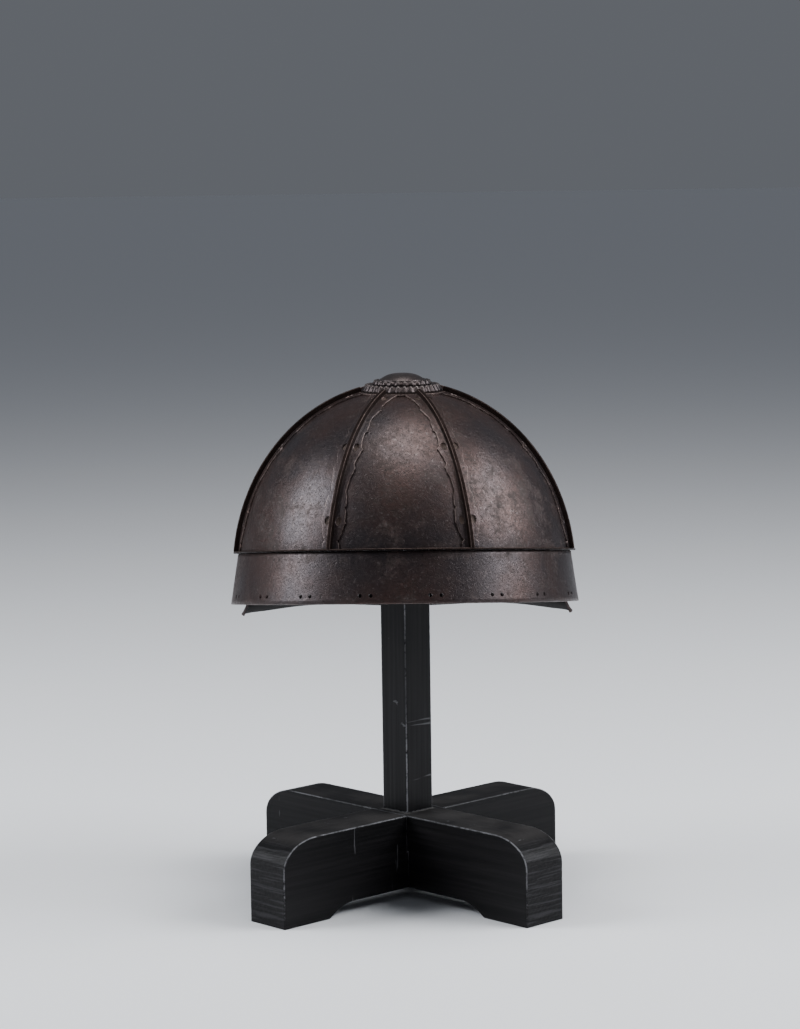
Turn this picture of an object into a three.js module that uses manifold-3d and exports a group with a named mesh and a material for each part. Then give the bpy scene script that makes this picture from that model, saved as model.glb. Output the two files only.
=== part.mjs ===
// Riveted iron helmet bowl with neck band and visor, resting on a wooden cross stand
// Millimetres, +Z up, the back of the helmet towards -Y and its visor towards +Y
import * as THREE from 'three';
import { mergeVertices } from 'three/addons/utils/BufferGeometryUtils.js';
import Module from 'manifold-3d';

const wasm = await Module();
wasm.setup();

// Clearance between pieces that touch on the real object
const GAP = 0.3;

// Wooden stand: two halved beams, a square post and a rounded head
const BEAM_LENGTH = 238;
const BEAM_WIDTH = 31.4;
const BEAM_HEIGHT = 53.6;
const BEAM_SHOULDER_LENGTH = 27;
const BEAM_SHOULDER_DROP = 18;
const FOOT_LENGTH = 37;
const ARCH_HEIGHT = 7.6;
const ARCH_EASE = 20;
const STAND_TURN = 45;
const POST_WIDTH = 22;
const POST_LENGTH = 248.2;
const HEAD_RADIUS = 34;
const HEAD_HEIGHT = 16;

// Bowl: the upper half of a slightly oval dome, its sizes taken on the outer face
const BOWL_HALF_WIDTH = 103.8;
const BOWL_LENGTH_RATIO = 1.05;
const BOWL_RISE = 115.5;
const BOWL_FULLNESS = 2.04;
const PLATE_THICKNESS = 1.8;
const CROWN_OPENING_RADIUS = 18;
const SEAM_ANGLES = [24.2, 81.2, 131, 180, 229, 278.8, 335.8];
const SEAM_GAP = 0.5;

// Rim: the flange plane slopes down towards the visor
const RIM_SLOPE = 8.26;
const FLANGE_RISE = 13.1;
const FLANGE_THICKNESS = 1.1;
const FLANGE_REACH = 3.8;
const FLANGE_INSET = 4;
const BAND_HEIGHT = 31.5;
const BAND_THICKNESS = 1.6;
const BAND_TOP_REACH = 0.9;
const BAND_FLARE = 4.7;

// Pairs of lacing holes near the lower edge of the band
const LACING_ANGLES = [-72, -51.5, -32.5, -11.4, 11.4, 32.5, 51.5, 72];
const LACING_PITCH = 6.8;
const LACING_DIAMETER = 2.2;
const LACING_EDGE = 5;

// Seam strips: a scalloped strip with a standing rib
const STRIP_THICKNESS = 1;
const STRIP_WIDTH = 17.6;
const RIB_WIDTH = 2.8;
const RIB_HEIGHT = 3;
const RIVET_HOLE_DIAMETER = 4;
const RIVET_OFFSET = 3.6;
const RIVET_STATIONS = [0.137, 0.538, 0.936];

// Shares of the seam length from the rim, and of half the strip's full width
const STRIP_OUTLINE = [
  { along: 0.000, width: 0.66 },
  { along: 0.040, width: 0.44 },
  { along: 0.082, width: 0.76 },
  { along: 0.127, width: 0.92 },
  { along: 0.209, width: 0.61 },
  { along: 0.251, width: 0.75 },
  { along: 0.294, width: 0.58 },
  { along: 0.348, width: 0.64 },
  { along: 0.405, width: 0.83 },
  { along: 0.440, width: 0.66 },
  { along: 0.494, width: 0.86 },
  { along: 0.525, width: 1.00 },
  { along: 0.548, width: 0.80 },
  { along: 0.618, width: 0.64 },
  { along: 0.662, width: 0.75 },
  { along: 0.741, width: 0.58 },
  { along: 0.811, width: 0.84 },
  { along: 0.875, width: 0.74 },
  { along: 0.936, width: 0.88 },
  { along: 1.000, width: 0.62 },
];

// Crown ornament: a wide petalled seat, a smaller petalled tier and a smooth cap
const SEAT_RADIUS = 25.1;
const SEAT_TOP_RADIUS = 22;
const SEAT_HEIGHT = 4.2;
const SEAT_PETALS = 36;
const TIER_RADIUS = 18.6;
const TIER_TOP_RADIUS = 15.8;
const TIER_HEIGHT = 2.2;
const TIER_PETALS = 24;
const PETAL_DEPTH = 0.06;
const PETAL_BULGE = 0.98;
const CAP_RADIUS = 14;
const CAP_HEIGHT = 3.9;

// Shares of the seat's radius where its underside bends to follow the bowl
const SEAT_UNDERSIDE = [0.75, 0.88];

// Visor: an upright lip riveted to the band and a blade that follows the brow
const VISOR_HALF_ANGLE = 67;
const VISOR_THICKNESS = 1.6;
const VISOR_LIP = 11;
const VISOR_REACH = 30;
const VISOR_END_REACH = 3.5;
const VISOR_DROP = 2.8;
const VISOR_END_DROP = 7.8;
const VISOR_FULLNESS = 0.7;
const BROW_RISE = 2.2;
const BROW_SPAN = 0.75;
const VISOR_RIVET_ANGLES = [146, 180, 214];
const VISOR_RIVET_RADIUS = 3;
const VISOR_RIVET_HEIGHT = 1.8;

const radians = THREE.MathUtils.degToRad;

const ironColour = new THREE.MeshStandardMaterial({ color: 0x2b2220, roughness: 0.42, metalness: 0.85 });
const stripColour = new THREE.MeshStandardMaterial({ color: 0x33261f, roughness: 0.5, metalness: 0.8 });
const crownColour = new THREE.MeshStandardMaterial({ color: 0x3a3432, roughness: 0.38, metalness: 0.9 });
const woodColour = new THREE.MeshStandardMaterial({ color: 0x0e0d10, roughness: 0.5, metalness: 0 });

// Bowl surface, measured from the middle of the dome

function bowlHalfWidth(height, inset = 0) {
  const share = Math.min(Math.max(height, 0) / (BOWL_RISE - inset), 1);
  return (BOWL_HALF_WIDTH - inset) * (1 - share ** BOWL_FULLNESS) ** (1 / BOWL_FULLNESS);
}

function bowlHeight(halfWidth, inset = 0) {
  const share = Math.min(halfWidth / (BOWL_HALF_WIDTH - inset), 1);
  return (BOWL_RISE - inset) * (1 - share ** BOWL_FULLNESS) ** (1 / BOWL_FULLNESS);
}

// Angles run from the middle of the back towards +X
function bowlPoint(angle, height) {
  const half = bowlHalfWidth(height);
  return new THREE.Vector3(
    half * Math.sin(angle),
    -half * BOWL_LENGTH_RATIO * Math.cos(angle),
    height,
  );
}

// Directions come from points a small step apart, in radians and in millimetres
const ANGLE_STEP = 0.01;
const HEIGHT_STEP = 0.4;

function bowlAlong(angle, height) {
  const before = bowlPoint(angle - ANGLE_STEP, height);
  return bowlPoint(angle + ANGLE_STEP, height).sub(before).normalize();
}

function bowlNormal(angle, height) {
  const below = bowlPoint(angle, height - HEIGHT_STEP);
  const up = bowlPoint(angle, height + HEIGHT_STEP).sub(below);
  return bowlAlong(angle, height).cross(up).normalize();
}

// Height of the sloping flange plane
function flangeHeight(y) {
  return FLANGE_RISE - y * Math.tan(radians(RIM_SLOPE));
}

// Height where the flange plane meets the bowl
function rimHeight(angle) {
  let height = FLANGE_RISE;
  for (let pass = 0; pass < 10; pass += 1) {
    height = flangeHeight(bowlPoint(angle, height).y);
  }
  return height;
}

// Trims the low end of each column to stand on the flange
function standOnFlange(columns) {
  for (const column of columns) {
    column[0].z = flangeHeight(column[0].y) + GAP;
  }
}

// The rim point with its outward direction in the flange plane and the direction down the band
function rimStation(angle) {
  const slope = radians(RIM_SLOPE);
  const down = new THREE.Vector3(0, -Math.sin(slope), -Math.cos(slope));
  const point = bowlPoint(angle, rimHeight(angle));
  const out = bowlNormal(angle, 0);
  out.addScaledVector(down, -out.dot(down)).normalize();
  return { point, out, down };
}

function shifted(base, direction, length) {
  return base.clone().addScaledVector(direction, length);
}

// Closed solid between an outer and an inner grid of points, given as columns from low to high
function shellGeometry(outer, inner, wraps) {
  const columns = outer.length;
  const rows = outer[0].length;
  const positions = [];
  for (const grid of [outer, inner]) {
    for (const column of grid) {
      for (const point of column) {
        positions.push(point.x, point.y, point.z);
      }
    }
  }
  const outside = (column, row) => (column % columns) * rows + row;
  const inside = (column, row) => columns * rows + (column % columns) * rows + row;
  const faces = [];
  const quad = (a, b, c, d) => faces.push(a, b, c, a, c, d);
  const spans = wraps ? columns : columns - 1;
  for (let i = 0; i < spans; i += 1) {
    for (let j = 0; j < rows - 1; j += 1) {
      quad(outside(i, j), outside(i + 1, j), outside(i + 1, j + 1), outside(i, j + 1));
      quad(inside(i, j), inside(i, j + 1), inside(i + 1, j + 1), inside(i + 1, j));
    }
    quad(outside(i, 0), inside(i, 0), inside(i + 1, 0), outside(i + 1, 0));
    quad(outside(i, rows - 1), outside(i + 1, rows - 1), inside(i + 1, rows - 1), inside(i, rows - 1));
  }
  if (!wraps) {
    const last = columns - 1;
    for (let j = 0; j < rows - 1; j += 1) {
      quad(outside(0, j), outside(0, j + 1), inside(0, j + 1), inside(0, j));
      quad(outside(last, j), inside(last, j), inside(last, j + 1), outside(last, j + 1));
    }
  }
  const geometry = new THREE.BufferGeometry();
  geometry.setAttribute('position', new THREE.Float32BufferAttribute(positions, 3));
  geometry.setIndex(faces);
  geometry.computeVertexNormals();
  return geometry;
}

function toSolid(geometry) {
  const bare = geometry.clone();
  bare.deleteAttribute('normal');
  bare.deleteAttribute('uv');
  const merged = mergeVertices(bare, 1e-4);
  return new wasm.Manifold(new wasm.Mesh({
    numProp: 3,
    vertProperties: new Float32Array(merged.attributes.position.array),
    triVerts: new Uint32Array(merged.index.array),
  }));
}

function fromSolid(solid) {
  const mesh = solid.getMesh();
  const geometry = new THREE.BufferGeometry();
  geometry.setAttribute('position', new THREE.Float32BufferAttribute(mesh.vertProperties, 3));
  geometry.setIndex(Array.from(mesh.triVerts));
  geometry.computeVertexNormals();
  return geometry;
}

// Round holes drilled along a direction through each given point
function drill(geometry, holes, diameter, depth, sides) {
  let solid = toSolid(geometry);
  for (const { point, direction } of holes) {
    const tool = new THREE.CylinderGeometry(diameter / 2, diameter / 2, depth, sides);
    const turn = new THREE.Quaternion().setFromUnitVectors(new THREE.Vector3(0, 1, 0), direction);
    tool.applyQuaternion(turn);
    tool.translate(point.x, point.y, point.z);
    solid = solid.subtract(toSolid(tool));
  }
  return fromSolid(solid);
}

// One iron plate of the bowl between two seams
function plateGeometry(fromAngle, toAngle) {
  const columns = 6;
  const rows = 12;
  const topHeight = bowlHeight(CROWN_OPENING_RADIUS);
  const outer = [];
  const inner = [];
  for (let i = 0; i < columns; i += 1) {
    const side = 1 - (2 * i) / (columns - 1);
    const angle = THREE.MathUtils.lerp(fromAngle, toAngle, i / (columns - 1));
    const low = rimHeight(angle) + GAP;
    const outerColumn = [];
    const innerColumn = [];
    for (let j = 0; j < rows; j += 1) {
      const rise = Math.sin((j / (rows - 1)) * (Math.PI / 2));
      const height = low + (topHeight - low) * rise;
      const inset = side * SEAM_GAP / 2;
      const face = shifted(bowlPoint(angle, height), bowlAlong(angle, height), inset);
      outerColumn.push(face);
      innerColumn.push(shifted(face, bowlNormal(angle, height), -PLATE_THICKNESS));
    }
    outer.push(outerColumn);
    inner.push(innerColumn);
  }
  standOnFlange([...outer, ...inner]);
  return shellGeometry(outer, inner, false);
}

// Heights along a seam at equal shares of its length, from the flange to the crown ornament
function seamHeights(angle, shares) {
  const low = rimHeight(angle) + GAP;
  const high = bowlHeight(SEAT_RADIUS + GAP + STRIP_THICKNESS);
  const steps = 200;
  const lengths = [0];
  for (let i = 1; i <= steps; i += 1) {
    const before = bowlPoint(angle, low + ((high - low) * (i - 1)) / steps);
    const here = bowlPoint(angle, low + ((high - low) * i) / steps);
    lengths.push(lengths[i - 1] + here.distanceTo(before));
  }
  return shares.map((share) => {
    const wanted = share * lengths[steps];
    const i = Math.max(1, lengths.findIndex((length) => length >= wanted - 1e-9));
    const part = (wanted - lengths[i - 1]) / (lengths[i] - lengths[i - 1]);
    return low + ((high - low) * (i - 1 + part)) / steps;
  });
}

// Scalloped strip over a seam, with its rib and its round rivet holes
function stripGeometry(angle) {
  const heights = seamHeights(angle, STRIP_OUTLINE.map((row) => row.along));
  const across = [-1, -0.5, -0.5, 0.5, 0.5, 1];
  const outer = across.map(() => []);
  const inner = across.map(() => []);
  STRIP_OUTLINE.forEach((row, index) => {
    const height = heights[index];
    const centre = bowlPoint(angle, height);
    const along = bowlAlong(angle, height);
    const half = row.width * STRIP_WIDTH / 2;
    across.forEach((place, column) => {
      const onRib = Math.abs(place) < 1;
      const side = onRib ? Math.sign(place) * RIB_WIDTH / 2 : place * half;
      const slide = side / bowlHalfWidth(height);
      const normal = bowlNormal(angle + slide, height);
      const lifted = column === 2 || column === 3;
      const base = onRib ? shifted(centre, along, side) : bowlPoint(angle + slide, height);
      const lift = GAP + STRIP_THICKNESS + (lifted ? RIB_HEIGHT : 0);
      outer[column].push(shifted(base, normal, lift));
      inner[column].push(shifted(base, normal, GAP));
    });
  });
  standOnFlange([...outer, ...inner]);
  const geometry = shellGeometry(outer, inner, false);
  const holes = [];
  for (const height of seamHeights(angle, RIVET_STATIONS)) {
    for (const side of [-1, 1]) {
      const turn = angle + (side * RIVET_OFFSET) / bowlHalfWidth(height);
      holes.push({ point: bowlPoint(turn, height), direction: bowlNormal(turn, height) });
    }
  }
  return drill(geometry, holes, RIVET_HOLE_DIAMETER, 3 * STRIP_THICKNESS + 2 * GAP, 8);
}

// Thin flange between the bowl and the band
function flangeGeometry() {
  const columns = 48;
  const outer = [];
  const inner = [];
  for (let i = 0; i < columns; i += 1) {
    const { point, out, down } = rimStation((i / columns) * 2 * Math.PI);
    const edge = shifted(point, out, FLANGE_REACH);
    const hole = shifted(point, out, -FLANGE_INSET);
    outer.push([shifted(edge, down, FLANGE_THICKNESS), edge]);
    inner.push([shifted(hole, down, FLANGE_THICKNESS), hole]);
  }
  return shellGeometry(outer, inner, true);
}

// Outward reach of the band's outer face at a distance down from the rim
function bandReach(depth) {
  return BAND_TOP_REACH + (BAND_FLARE * (depth - FLANGE_THICKNESS - GAP)) / BAND_HEIGHT;
}

function bandPoint(angle, depth, lift) {
  const { point, out, down } = rimStation(angle);
  return shifted(shifted(point, out, bandReach(depth) + lift), down, depth);
}

// Flared neck band with pairs of lacing holes
function bandGeometry() {
  const columns = 48;
  const top = FLANGE_THICKNESS + GAP;
  const bottom = top + BAND_HEIGHT;
  const outer = [];
  const inner = [];
  for (let i = 0; i < columns; i += 1) {
    const angle = (i / columns) * 2 * Math.PI;
    outer.push([bandPoint(angle, bottom, 0), bandPoint(angle, top, 0)]);
    inner.push([bandPoint(angle, bottom, -BAND_THICKNESS), bandPoint(angle, top, -BAND_THICKNESS)]);
  }
  const depth = bottom - LACING_EDGE;
  const holes = [];
  for (const degrees of LACING_ANGLES) {
    for (const side of [-1, 1]) {
      const angle = radians(degrees) + (side * LACING_PITCH) / 2 / (BOWL_HALF_WIDTH + bandReach(depth));
      const point = bandPoint(angle, depth, -BAND_THICKNESS / 2);
      holes.push({ point, direction: rimStation(angle).out });
    }
  }
  return drill(shellGeometry(outer, inner, true), holes, LACING_DIAMETER, 4 * BAND_THICKNESS, 6);
}

// Visor across the front, with an upright lip and a drooping blade
function visorGeometry() {
  const columns = 21;
  const bandBottom = FLANGE_THICKNESS + GAP + BAND_HEIGHT;
  const outer = [];
  const inner = [];
  for (let i = 0; i < columns; i += 1) {
    const across = (2 * i) / (columns - 1) - 1;
    const angle = Math.PI + radians(VISOR_HALF_ANGLE) * across;
    const { out, down } = rimStation(angle);
    const frontness = Math.cos(across * Math.PI / 2) ** VISOR_FULLNESS;
    const reach = THREE.MathUtils.lerp(VISOR_END_REACH, VISOR_REACH, frontness);
    const browShare = Math.min(Math.abs(across) / BROW_SPAN, 1);
    const brow = BROW_RISE * Math.sin(Math.PI * browShare) ** 2;
    const drop = THREE.MathUtils.lerp(VISOR_END_DROP, VISOR_DROP, frontness) - brow;
    const lipTop = bandPoint(angle, bandBottom - VISOR_LIP, GAP);
    const lipFoot = bandPoint(angle, bandBottom + GAP, GAP);
    const blade = shifted(shifted(lipFoot, out, reach), down, drop);
    const fall = blade.clone().sub(lipFoot).normalize();
    const above = fall.cross(bowlAlong(angle, 0)).normalize();
    const corner = shifted(shifted(lipFoot, out, VISOR_THICKNESS), down, -VISOR_THICKNESS);
    outer.push([shifted(blade, above, VISOR_THICKNESS), corner, shifted(lipTop, out, VISOR_THICKNESS)]);
    inner.push([blade, lipFoot, lipTop]);
  }
  return shellGeometry(outer, inner, false);
}

// Round disc with a petalled edge, its profile given from the axis below to the axis above
function petalGeometry(profile, petals) {
  const points = profile.map((row) => new THREE.Vector2(row.radius, row.height));
  const geometry = new THREE.LatheGeometry(points, petals * 2);
  geometry.rotateX(Math.PI / 2);
  const position = geometry.attributes.position;
  for (let i = 0; i < position.count; i += 1) {
    if (profile[i % profile.length].petalled) {
      const x = position.getX(i);
      const y = position.getY(i);
      const groove = 0.5 - 0.5 * Math.cos(Math.atan2(y, x) * petals);
      const scale = 1 - PETAL_DEPTH * groove;
      position.setXY(i, x * scale, y * scale);
    }
  }
  geometry.computeVertexNormals();
  return geometry;
}

// The seat clears the bowl where its petals are deepest
const seatBottom = bowlHeight((SEAT_RADIUS * (1 - PETAL_DEPTH)) / BOWL_LENGTH_RATIO) + GAP;
const seatTop = seatBottom + SEAT_HEIGHT;
const crownTop = BOWL_RISE + GAP;

function seatGeometry() {
  const underside = SEAT_UNDERSIDE.map((share) => {
    const radius = SEAT_RADIUS * share;
    return { radius, height: bowlHeight(radius / BOWL_LENGTH_RATIO) + GAP };
  });
  const profile = [
    { radius: 0, height: crownTop },
    { radius: CROWN_OPENING_RADIUS / 2, height: crownTop },
    ...underside,
    { radius: SEAT_RADIUS, height: seatBottom, petalled: true },
    { radius: SEAT_RADIUS * PETAL_BULGE, height: seatBottom + SEAT_HEIGHT / 2, petalled: true },
    { radius: SEAT_TOP_RADIUS, height: seatTop, petalled: true },
    { radius: 0, height: seatTop },
  ];
  return petalGeometry(profile, SEAT_PETALS);
}

function tierGeometry() {
  const bottom = seatTop + GAP;
  const profile = [
    { radius: 0, height: bottom },
    { radius: TIER_RADIUS, height: bottom, petalled: true },
    { radius: TIER_RADIUS * PETAL_BULGE, height: bottom + TIER_HEIGHT / 2, petalled: true },
    { radius: TIER_TOP_RADIUS, height: bottom + TIER_HEIGHT, petalled: true },
    { radius: 0, height: bottom + TIER_HEIGHT },
  ];
  return petalGeometry(profile, TIER_PETALS);
}

function capGeometry() {
  const bottom = seatTop + TIER_HEIGHT + 2 * GAP;
  const steps = 5;
  const points = [new THREE.Vector2(0, bottom)];
  for (let i = 0; i <= steps; i += 1) {
    const turn = (i / steps) * (Math.PI / 2);
    const height = bottom + CAP_HEIGHT * Math.sin(turn);
    points.push(new THREE.Vector2(i === steps ? 0 : CAP_RADIUS * Math.cos(turn), height));
  }
  const geometry = new THREE.LatheGeometry(points, 20);
  geometry.rotateX(Math.PI / 2);
  return geometry;
}

// Domed rivet head standing on the visor's lip
function visorRivetGeometry() {
  const points = [
    new THREE.Vector2(0, 0),
    new THREE.Vector2(VISOR_RIVET_RADIUS, 0),
    new THREE.Vector2(VISOR_RIVET_RADIUS * 0.75, VISOR_RIVET_HEIGHT * 0.7),
    new THREE.Vector2(0, VISOR_RIVET_HEIGHT),
  ];
  return new THREE.LatheGeometry(points, 10);
}

// Side outline of a beam, with rounded shoulders, two feet and the shallow arch between them
function beamShape(notchFromTop) {
  const half = BEAM_LENGTH / 2;
  const archFoot = half - FOOT_LENGTH;
  const archFlat = archFoot - ARCH_EASE;
  const archBend = archFoot - ARCH_EASE / 2;
  const notch = BEAM_WIDTH / 2 + GAP;
  const halving = (BEAM_HEIGHT + ARCH_HEIGHT) / 2;
  const shape = new THREE.Shape();
  shape.moveTo(-half, 0);
  shape.lineTo(-archFoot, 0);
  shape.quadraticCurveTo(-archBend, ARCH_HEIGHT, -archFlat, ARCH_HEIGHT);
  if (!notchFromTop) {
    shape.lineTo(-notch, ARCH_HEIGHT);
    shape.lineTo(-notch, halving + GAP / 2);
    shape.lineTo(notch, halving + GAP / 2);
    shape.lineTo(notch, ARCH_HEIGHT);
  }
  shape.lineTo(archFlat, ARCH_HEIGHT);
  shape.quadraticCurveTo(archBend, ARCH_HEIGHT, archFoot, 0);
  shape.lineTo(half, 0);
  shape.absellipse(
    half - BEAM_SHOULDER_LENGTH, BEAM_HEIGHT - BEAM_SHOULDER_DROP,
    BEAM_SHOULDER_LENGTH, BEAM_SHOULDER_DROP, 0, Math.PI / 2, false,
  );
  if (notchFromTop) {
    shape.lineTo(notch, BEAM_HEIGHT);
    shape.lineTo(notch, halving - GAP / 2);
    shape.lineTo(-notch, halving - GAP / 2);
    shape.lineTo(-notch, BEAM_HEIGHT);
  }
  shape.absellipse(
    -half + BEAM_SHOULDER_LENGTH, BEAM_HEIGHT - BEAM_SHOULDER_DROP,
    BEAM_SHOULDER_LENGTH, BEAM_SHOULDER_DROP, Math.PI / 2, Math.PI, false,
  );
  shape.closePath();
  return shape;
}

function beamGeometry(notchFromTop) {
  const geometry = new THREE.ExtrudeGeometry(beamShape(notchFromTop), {
    depth: BEAM_WIDTH,
    bevelEnabled: false,
    curveSegments: 7,
  });
  geometry.translate(0, 0, -BEAM_WIDTH / 2);
  geometry.rotateX(Math.PI / 2);
  return geometry;
}

// Rounded head under the crown, following the inside of the bowl
function headGeometry() {
  const inset = PLATE_THICKNESS + GAP;
  const steps = 5;
  const bottom = BOWL_RISE - inset - HEAD_HEIGHT;
  const points = [new THREE.Vector2(0, bottom), new THREE.Vector2(HEAD_RADIUS, bottom)];
  for (let i = 0; i < steps; i += 1) {
    const radius = HEAD_RADIUS * (1 - i / steps);
    points.push(new THREE.Vector2(radius, bowlHeight(radius, inset)));
  }
  points.push(new THREE.Vector2(0, BOWL_RISE - inset));
  const geometry = new THREE.LatheGeometry(points, 20);
  geometry.rotateX(Math.PI / 2);
  return geometry;
}

function piece(name, geometry, material) {
  const mesh = new THREE.Mesh(geometry, material);
  mesh.name = name;
  return mesh;
}

function buildHelmet() {
  const helmet = new THREE.Group();
  const seams = SEAM_ANGLES.map(radians);
  seams.forEach((angle, index) => {
    const next = seams[(index + 1) % seams.length];
    const end = next > angle ? next : next + 2 * Math.PI;
    helmet.add(piece(`plate_${index + 1}`, plateGeometry(angle, end), ironColour));
    helmet.add(piece(`rib_strip_${index + 1}`, stripGeometry(angle), stripColour));
  });
  helmet.add(piece('rim_flange', flangeGeometry(), ironColour));
  helmet.add(piece('waist_band', bandGeometry(), ironColour));
  helmet.add(piece('crown_seat', seatGeometry(), crownColour));
  helmet.add(piece('crown_tier', tierGeometry(), crownColour));
  helmet.add(piece('crown_cap', capGeometry(), crownColour));
  helmet.add(piece('visor', visorGeometry(), ironColour));
  VISOR_RIVET_ANGLES.forEach((degrees, index) => {
    const rivet = piece(`visor_rivet_${index + 1}`, visorRivetGeometry(), ironColour);
    const depth = FLANGE_THICKNESS + GAP + BAND_HEIGHT - VISOR_LIP / 2;
    const { out, down } = rimStation(radians(degrees));
    const facing = out.clone().addScaledVector(down, -BAND_FLARE / BAND_HEIGHT).normalize();
    rivet.position.copy(bandPoint(radians(degrees), depth, 3 * GAP + VISOR_THICKNESS));
    rivet.quaternion.setFromUnitVectors(new THREE.Vector3(0, 1, 0), facing);
    helmet.add(rivet);
  });
  helmet.add(piece('post_head', headGeometry(), woodColour));
  return helmet;
}

function buildStand() {
  const stand = new THREE.Group();
  stand.add(piece('base_beam_a', beamGeometry(true), woodColour));
  const crossBeam = piece('base_beam_b', beamGeometry(false), woodColour);
  crossBeam.rotation.z = Math.PI / 2;
  stand.add(crossBeam);
  const post = piece('post', new THREE.BoxGeometry(POST_WIDTH, POST_WIDTH, POST_LENGTH), woodColour);
  post.position.z = BEAM_HEIGHT + GAP + POST_LENGTH / 2;
  stand.add(post);
  stand.rotation.z = radians(STAND_TURN);
  return stand;
}

const helmet = buildHelmet();
const headBottom = BOWL_RISE - PLATE_THICKNESS - GAP - HEAD_HEIGHT;
helmet.position.z = BEAM_HEIGHT + 2 * GAP + POST_LENGTH - headBottom;

const group = new THREE.Group();
group.add(buildStand(), helmet);

// The origin goes under the middle of the whole outline, on the floor
const outline = new THREE.Box3().setFromObject(group, true);
const outlineMiddle = outline.getCenter(new THREE.Vector3());
group.position.set(-outlineMiddle.x, -outlineMiddle.y, -outline.min.z);

export default group;
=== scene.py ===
import math

import bmesh
import bpy
from mathutils import Matrix, Vector, noise


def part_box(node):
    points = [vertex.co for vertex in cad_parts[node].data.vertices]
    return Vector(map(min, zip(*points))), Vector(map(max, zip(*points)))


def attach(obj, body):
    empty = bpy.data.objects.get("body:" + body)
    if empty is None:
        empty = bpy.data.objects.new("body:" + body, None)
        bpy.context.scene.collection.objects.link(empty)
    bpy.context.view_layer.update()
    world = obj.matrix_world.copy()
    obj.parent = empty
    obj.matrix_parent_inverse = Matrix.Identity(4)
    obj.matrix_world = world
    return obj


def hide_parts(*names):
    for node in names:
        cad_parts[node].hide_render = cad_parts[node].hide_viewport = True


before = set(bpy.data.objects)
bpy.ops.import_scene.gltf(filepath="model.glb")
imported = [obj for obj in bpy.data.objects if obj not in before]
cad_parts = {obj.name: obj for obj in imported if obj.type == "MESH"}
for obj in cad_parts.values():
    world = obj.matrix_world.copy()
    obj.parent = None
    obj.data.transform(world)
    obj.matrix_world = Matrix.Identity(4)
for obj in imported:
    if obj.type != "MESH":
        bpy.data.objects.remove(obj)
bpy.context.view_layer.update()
print("frame loaded")

scene = bpy.context.scene
toMetres = 0.001

# Lengths below are in millimetres, measured from the post's axis and the middle of the dome
bowl = {
    "halfWidth": 103.8,
    "lengthRatio": 1.05,
    "rise": 115.5,
    "fullness": 2.04,
    "plateThickness": 1.8,
    "rimSlope": 8.26,
    "flangeRise": 13.1,
    "headClearance": 0.3,
    "rimGap": 0.05,  # between the flange and what stands on it
    "wallHeight": 0.31,  # where the wall's direction is taken for the rim
    "seams": [24.2, 81.2, 131.0, 180.0, 229.0, 278.8, 335.8],
}

postLow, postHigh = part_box("post")
axisX = (postLow.x + postHigh.x) / 2 / toMetres
axisY = (postLow.y + postHigh.y) / 2 / toMetres
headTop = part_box("post_head")[1].z / toMetres
domeMiddle = headTop - bowl["rise"] + bowl["plateThickness"] + bowl["headClearance"]


def domeSpot(point):
    return (
        (point[0] + axisX) * toMetres,
        (point[1] + axisY) * toMetres,
        (point[2] + domeMiddle) * toMetres,
    )


# The dome's surface
def domeHalfWidth(height):
    share = min(max(height, 0.0) / bowl["rise"], 1.0)
    return bowl["halfWidth"] * (1 - share ** bowl["fullness"]) ** (1 / bowl["fullness"])


def domeHeight(halfWidth):
    share = min(halfWidth / bowl["halfWidth"], 1.0)
    return bowl["rise"] * (1 - share ** bowl["fullness"]) ** (1 / bowl["fullness"])


def domePoint(angle, height):  # angles run from the middle of the back towards +X
    half = domeHalfWidth(height)
    return Vector((half * math.sin(angle), -half * bowl["lengthRatio"] * math.cos(angle), height))


def domeAlong(angle, height):
    return (domePoint(angle + 0.01, height) - domePoint(angle - 0.01, height)).normalized()


def domeNormal(angle, height):
    up = domePoint(angle, height + 0.3) - domePoint(angle, height - 0.3)
    return domeAlong(angle, height).cross(up).normalized()


def flangeHeight(y):
    return bowl["flangeRise"] - y * math.tan(math.radians(bowl["rimSlope"]))


def rimHeight(angle):
    height = bowl["flangeRise"]
    for _ in range(10):
        height = flangeHeight(domePoint(angle, height).y)
    return height


def rimStation(angle):
    slope = math.radians(bowl["rimSlope"])
    down = Vector((0, -math.sin(slope), -math.cos(slope)))
    out = domeNormal(angle, bowl["wallHeight"])
    out = (out - down * out.dot(down)).normalized()
    return domePoint(angle, rimHeight(angle)), out, down


def landOnFlange(columns):  # brings the lowest point of each column down to the flange
    for column in columns:
        column[0].z = flangeHeight(column[0].y) + bowl["rimGap"]


def blend(low, high, share):
    return low + (high - low) * share


def wobble(point, size, seed):
    return noise.noise(Vector(point) / size + Vector((seed, seed * 1.7, -seed)))


# Shader helpers
def shaderNode(tree, kind, settings=None, inputs=None):
    node = tree.nodes.new(kind)
    for key, value in (settings or {}).items():
        setattr(node, key, value)
    for key, value in (inputs or {}).items():
        if isinstance(value, bpy.types.NodeSocket):
            tree.links.new(value, node.inputs[key])
        else:
            node.inputs[key].default_value = value
    return node


def mathNode(tree, operation, first, second=0.0, third=0.0):
    inputs = {0: first, 1: second, 2: third}
    return shaderNode(tree, "ShaderNodeMath", {"operation": operation}, inputs).outputs[0]


def noiseNode(tree, place, scale, detail=4.0, roughness=0.55, distortion=0.0):
    inputs = {
        "Vector": place, "Scale": scale, "Detail": detail,
        "Roughness": roughness, "Distortion": distortion,
    }
    return shaderNode(tree, "ShaderNodeTexNoise", None, inputs).outputs[0]


def rangeNode(tree, value, low, high, toLow=0.0, toHigh=1.0):
    node = shaderNode(
        tree, "ShaderNodeMapRange", {"interpolation_type": "SMOOTHSTEP"},
        {"Value": value, "From Min": low, "From Max": high, "To Min": toLow, "To Max": toHigh},
    )
    return node.outputs["Result"]


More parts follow.
